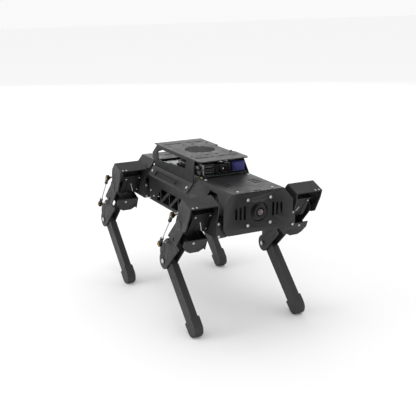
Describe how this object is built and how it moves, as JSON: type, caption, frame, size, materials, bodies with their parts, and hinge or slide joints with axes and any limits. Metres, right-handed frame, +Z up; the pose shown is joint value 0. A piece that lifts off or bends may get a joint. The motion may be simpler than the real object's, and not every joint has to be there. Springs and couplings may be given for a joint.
{
  "type": "quadruped robot",
  "caption": "Four-legged walking robot with a folded-sheet torso, nose camera, payload rack and servo-driven legs whose knees are worked by push rods.",
  "frame": {"origin": "on the floor, below the middle of the box around the standing robot", "axes": "+Z up, -Y towards the nose camera, +X towards the robot's left"},
  "size_m": [0.2272, 0.3749, 0.2368],
  "materials": {
    "black_sheet": "black powder coat on folded aluminium sheet, satin with a fine grain",
    "servo_plastic": "black moulded servo case, satin",
    "rubber_foot": "dark moulded rubber boot",
    "steel_hardware": "bright zinc-plated steel screws and rods",
    "brass_ball": "turned brass ball studs",
    "camera_black": "black anodised lens barrel",
    "lens_glass": "dark coated lens with a faint magenta reflection",
    "circuit_board": "dark solder mask",
    "port_metal": "nickel-plated connector shells",
    "blue_plastic": "blue moulded connector",
    "black_gloss": "glossy black moulded plastic",
    "white_mark": "white printed line"
  },
  "bodies": {
    "torso": {"bottom_tray": "black_sheet", "mid_plate": "black_sheet", "head_cover": "black_sheet", "tail_cover": "black_sheet", "front_panel": "black_sheet", "rear_panel": "black_sheet", "camera_module": "camera_black", "battery_pack": "servo_plastic", "controller_board": "circuit_board", "port_blocks": "port_metal", "cooling_fan": "servo_plastic", "rack_deck": "black_sheet", "side_truss_right": "black_sheet", "side_truss_left": "black_sheet", "rack_wing_right": "black_sheet", "rack_wing_left": "black_sheet", "front_left_roll_servo": "servo_plastic", "front_right_roll_servo": "servo_plastic", "rear_left_roll_servo": "servo_plastic", "rear_right_roll_servo": "servo_plastic"},
    "front_left_hip": {"front_left_yoke": "black_sheet", "front_left_pitch_servo": "servo_plastic"},
    "front_left_thigh": {"front_left_thigh_outer": "black_sheet", "front_left_thigh_inner": "black_sheet", "front_left_knee_servo": "servo_plastic", "front_left_knee_bolt": "steel_hardware"},
    "front_left_shank": {"front_left_shank": "black_sheet", "front_left_foot": "rubber_foot"},
    "front_left_crank": {"front_left_knee_crank": "black_sheet"},
    "front_left_rod": {"front_left_push_rod": "steel_hardware"},
    "front_right_hip": {"front_right_yoke": "black_sheet", "front_right_pitch_servo": "servo_plastic"},
    "front_right_thigh": {"front_right_thigh_outer": "black_sheet", "front_right_thigh_inner": "black_sheet", "front_right_knee_servo": "servo_plastic", "front_right_knee_bolt": "steel_hardware"},
    "front_right_shank": {"front_right_shank": "black_sheet", "front_right_foot": "rubber_foot"},
    "front_right_crank": {"front_right_knee_crank": "black_sheet"},
    "front_right_rod": {"front_right_push_rod": "steel_hardware"},
    "rear_left_hip": {"rear_left_yoke": "black_sheet", "rear_left_pitch_servo": "servo_plastic"},
    "rear_left_thigh": {"rear_left_thigh_outer": "black_sheet", "rear_left_thigh_inner": "black_sheet", "rear_left_knee_servo": "servo_plastic", "rear_left_knee_bolt": "steel_hardware"},
    "rear_left_shank": {"rear_left_shank": "black_sheet", "rear_left_foot": "rubber_foot"},
    "rear_left_crank": {"rear_left_knee_crank": "black_sheet"},
    "rear_left_rod": {"rear_left_push_rod": "steel_hardware"},
    "rear_right_hip": {"rear_right_yoke": "black_sheet", "rear_right_pitch_servo": "servo_plastic"},
    "rear_right_thigh": {"rear_right_thigh_outer": "black_sheet", "rear_right_thigh_inner": "black_sheet", "rear_right_knee_servo": "servo_plastic", "rear_right_knee_bolt": "steel_hardware"},
    "rear_right_shank": {"rear_right_shank": "black_sheet", "rear_right_foot": "rubber_foot"},
    "rear_right_crank": {"rear_right_knee_crank": "black_sheet"},
    "rear_right_rod": {"rear_right_push_rod": "steel_hardware"}
  },
  "joints": [
    {"name": "front_left_hip_roll", "type": "hinge", "parent": "torso", "child": "front_left_hip", "pos_m": [0.0525, -0.147, 0.16134], "axis": [0, 1, 0], "range_deg": [-10, 20]},
    {"name": "front_left_hip_pitch", "type": "hinge", "parent": "front_left_hip", "child": "front_left_thigh", "pos_m": [0.085, -0.147, 0.16734], "axis": [1, 0, 0], "range_deg": [-55, 15]},
    {"name": "front_left_knee", "type": "hinge", "parent": "front_left_thigh", "child": "front_left_shank", "pos_m": [0.0876, -0.06809, 0.08843], "axis": [1, 0, 0], "range_deg": [-50, 10]},
    {"name": "front_left_knee_crank_turn", "type": "hinge", "parent": "front_left_thigh", "child": "front_left_crank", "pos_m": [0.0986, -0.12204, 0.14761], "axis": [1, 0, 0], "range_deg": [-50, 10]},
    {"name": "front_left_rod_swing", "type": "hinge", "parent": "front_left_crank", "child": "front_left_rod", "pos_m": [0.11, -0.13137, 0.17901], "axis": [1, 0, 0], "range_deg": [-10, 50]},
    {"name": "front_right_hip_roll", "type": "hinge", "parent": "torso", "child": "front_right_hip", "pos_m": [-0.0525, -0.147, 0.16134], "axis": [0, -1, 0], "range_deg": [-10, 20]},
    {"name": "front_right_hip_pitch", "type": "hinge", "parent": "front_right_hip", "child": "front_right_thigh", "pos_m": [-0.085, -0.147, 0.16734], "axis": [1, 0, 0], "range_deg": [-55, 15]},
    {"name": "front_right_knee", "type": "hinge", "parent": "front_right_thigh", "child": "front_right_shank", "pos_m": [-0.0876, -0.06809, 0.08843], "axis": [1, 0, 0], "range_deg": [-50, 10]},
    {"name": "front_right_knee_crank_turn", "type": "hinge", "parent": "front_right_thigh", "child": "front_right_crank", "pos_m": [-0.0986, -0.12204, 0.14761], "axis": [1, 0, 0], "range_deg": [-50, 10]},
    {"name": "front_right_rod_swing", "type": "hinge", "parent": "front_right_crank", "child": "front_right_rod", "pos_m": [-0.11, -0.13137, 0.17901], "axis": [1, 0, 0], "range_deg": [-10, 50]},
    {"name": "rear_left_hip_roll", "type": "hinge", "parent": "torso", "child": "rear_left_hip", "pos_m": [0.0525, 0.093, 0.16134], "axis": [0, 1, 0], "range_deg": [-10, 20]},
    {"name": "rear_left_hip_pitch", "type": "hinge", "parent": "rear_left_hip", "child": "rear_left_thigh", "pos_m": [0.085, 0.093, 0.16734], "axis": [1, 0, 0], "range_deg": [-55, 15]},
    {"name": "rear_left_knee", "type": "hinge", "parent": "rear_left_thigh", "child": "rear_left_shank", "pos_m": [0.0876, 0.17191, 0.08843], "axis": [1, 0, 0], "range_deg": [-50, 10]},
    {"name": "rear_left_knee_crank_turn", "type": "hinge", "parent": "rear_left_thigh", "child": "rear_left_crank", "pos_m": [0.0986, 0.11796, 0.14761], "axis": [1, 0, 0], "range_deg": [-50, 10]},
    {"name": "rear_left_rod_swing", "type": "hinge", "parent": "rear_left_crank", "child": "rear_left_rod", "pos_m": [0.11, 0.10863, 0.17901], "axis": [1, 0, 0], "range_deg": [-10, 50]},
    {"name": "rear_right_hip_roll", "type": "hinge", "parent": "torso", "child": "rear_right_hip", "pos_m": [-0.0525, 0.093, 0.16134], "axis": [0, -1, 0], "range_deg": [-10, 20]},
    {"name": "rear_right_hip_pitch", "type": "hinge", "parent": "rear_right_hip", "child": "rear_right_thigh", "pos_m": [-0.085, 0.093, 0.16734], "axis": [1, 0, 0], "range_deg": [-55, 15]},
    {"name": "rear_right_knee", "type": "hinge", "parent": "rear_right_thigh", "child": "rear_right_shank", "pos_m": [-0.0876, 0.17191, 0.08843], "axis": [1, 0, 0], "range_deg": [-50, 10]},
    {"name": "rear_right_knee_crank_turn", "type": "hinge", "parent": "rear_right_thigh", "child": "rear_right_crank", "pos_m": [-0.0986, 0.11796, 0.14761], "axis": [1, 0, 0], "range_deg": [-50, 10]},
    {"name": "rear_right_rod_swing", "type": "hinge", "parent": "rear_right_crank", "child": "rear_right_rod", "pos_m": [-0.11, 0.10863, 0.17901], "axis": [1, 0, 0], "range_deg": [-10, 50]}
  ],
  "couplings": [
    {"joint": "front_left_knee_crank_turn", "follows": "front_left_knee", "ratio": 1},
    {"joint": "front_left_rod_swing", "follows": "front_left_knee", "ratio": -1},
    {"joint": "front_right_knee_crank_turn", "follows": "front_right_knee", "ratio": 1},
    {"joint": "front_right_rod_swing", "follows": "front_right_knee", "ratio": -1},
    {"joint": "rear_left_knee_crank_turn", "follows": "rear_left_knee", "ratio": 1},
    {"joint": "rear_left_rod_swing", "follows": "rear_left_knee", "ratio": -1},
    {"joint": "rear_right_knee_crank_turn", "follows": "rear_right_knee", "ratio": 1},
    {"joint": "rear_right_rod_swing", "follows": "rear_right_knee", "ratio": -1}
  ]
}
